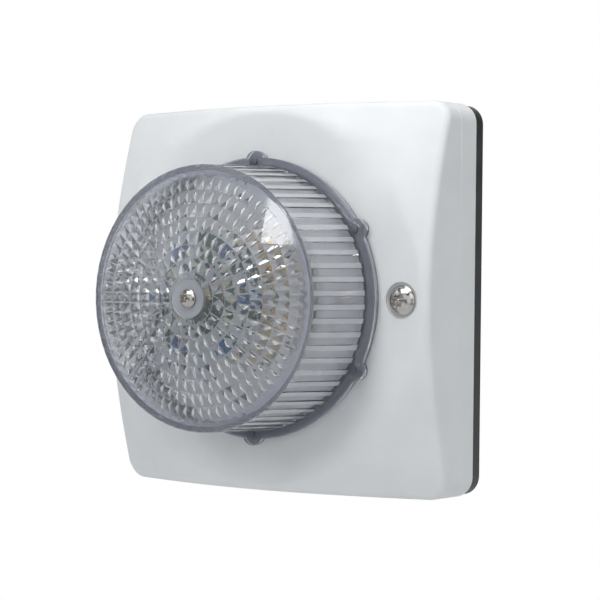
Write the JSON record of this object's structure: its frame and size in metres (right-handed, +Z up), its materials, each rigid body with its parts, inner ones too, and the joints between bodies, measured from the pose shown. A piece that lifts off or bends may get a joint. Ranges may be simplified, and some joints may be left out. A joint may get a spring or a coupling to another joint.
{
  "type": "wall strobe light",
  "caption": "Square wall-mounted LED strobe light: dark wall plate, white cover with a flat round face and falling corners, and a clear ribbed drum lens over an LED tower.",
  "frame": {"origin": "centre of the back face, on the wall plane", "axes": "+Y into the wall, the light faces -Y, +Z up, +X to the right seen from the front"},
  "size_m": [0.15, 0.09, 0.15],
  "materials": {
    "black_plastic": "fine moulded, slightly glossy dark grey",
    "foam": "closed-cell foam",
    "seal_rubber": "matt rubber",
    "grommet_rubber": "matt rubber",
    "brass": "turned",
    "white_plastic": "fine moulded texture, semi-gloss",
    "gasket_rubber": "matt rubber",
    "reflector_white": "satin white",
    "green_board": "solder-masked circuit board",
    "steel_zinc": "zinc plated",
    "tower_aluminium": "extruded, satin",
    "white_board": "white solder mask on aluminium core",
    "led_phosphor": "yellow phosphor in white package",
    "blue_component": "glossy blue coating",
    "connector_plastic": "natural nylon",
    "ribbon": "grey ribbon insulation",
    "capacitor_sleeve": "shrink sleeve",
    "ferrite": "ferrite and black base",
    "chip_plastic": "moulded epoxy",
    "jack_plastic": "moulded",
    "terminal_plastic": "moulded",
    "switch_shell": "pressed cover",
    "button_plastic": "moulded",
    "clear_lens": "clear polycarbonate, faint lilac tint",
    "screw_steel": "polished stainless steel",
    "screw_seal": "matt rubber"
  },
  "bodies": {
    "wall_plate": {"back_plate": "black_plastic", "wall_seal": "foam", "cover_seal": "seal_rubber", "cover_inserts": "brass", "cable_grommet": "grommet_rubber"},
    "cover_unit": {"front_cover": "white_plastic", "lens_gasket": "gasket_rubber", "reflector": "reflector_white", "reflector_spacers": "connector_plastic", "main_board": "green_board", "board_screws": "steel_zinc", "led_tower": "tower_aluminium", "tower_screws": "steel_zinc", "side_led_boards": "white_board", "side_leds": "led_phosphor", "front_led_board": "green_board", "front_leds": "led_phosphor", "blue_capacitors": "blue_component", "lens_post": "brass", "led_connector": "connector_plastic", "led_ribbon": "ribbon", "smoothing_capacitors": "capacitor_sleeve", "power_inductor": "ferrite", "control_chips": "chip_plastic", "network_jack": "jack_plastic", "terminal_block": "terminal_plastic", "reset_switch": "switch_shell"},
    "lens_cap": {"lens": "clear_lens"},
    "lens_seal": {"lens_washer": "screw_seal"},
    "lens_fastener": {"lens_screw": "screw_steel"},
    "left_seal": {"left_washer": "screw_seal"},
    "left_fastener": {"left_screw": "screw_steel"},
    "right_seal": {"right_washer": "screw_seal"},
    "right_fastener": {"right_screw": "screw_steel"},
    "button": {"reset_button": "button_plastic"}
  },
  "joints": [
    {"name": "cover_lift", "type": "slide", "parent": "wall_plate", "child": "cover_unit", "axis": [0, -1, 0], "range_m": [0, 0.06]},
    {"name": "lens_lift", "type": "slide", "parent": "cover_unit", "child": "lens_cap", "axis": [0, -1, 0], "range_m": [0, 0.05]},
    {"name": "lens_screw_rise", "type": "slide", "parent": "lens_cap", "child": "lens_seal", "axis": [0, -1, 0], "range_m": [0, 0.007]},
    {"name": "lens_screw_turn", "type": "hinge", "parent": "lens_seal", "child": "lens_fastener", "pos_m": [0, -0.0878, 0], "axis": [0, -1, 0], "range_deg": [0, 3600]},
    {"name": "left_screw_rise", "type": "slide", "parent": "cover_unit", "child": "left_seal", "axis": [0, -1, 0], "range_m": [0, 0.0096]},
    {"name": "left_screw_turn", "type": "hinge", "parent": "left_seal", "child": "left_fastener", "pos_m": [-0.063, -0.0408, 0], "axis": [0, -1, 0], "range_deg": [0, 4320]},
    {"name": "right_screw_rise", "type": "slide", "parent": "cover_unit", "child": "right_seal", "axis": [0, -1, 0], "range_m": [0, 0.0096]},
    {"name": "right_screw_turn", "type": "hinge", "parent": "right_seal", "child": "right_fastener", "pos_m": [0.063, -0.0408, 0], "axis": [0, -1, 0], "range_deg": [0, 4320]},
    {"name": "reset_press", "type": "slide", "parent": "cover_unit", "child": "button", "axis": [0, -1, 0], "range_m": [0, 0.0005], "stiffness_N_per_m": 800}
  ],
  "couplings": [
    {"joint": "lens_screw_turn", "follows": "lens_screw_rise", "rad_per_m": 8975.9},
    {"joint": "left_screw_turn", "follows": "left_screw_rise", "rad_per_m": 7853.9},
    {"joint": "right_screw_turn", "follows": "right_screw_rise", "rad_per_m": 7853.9}
  ]
}
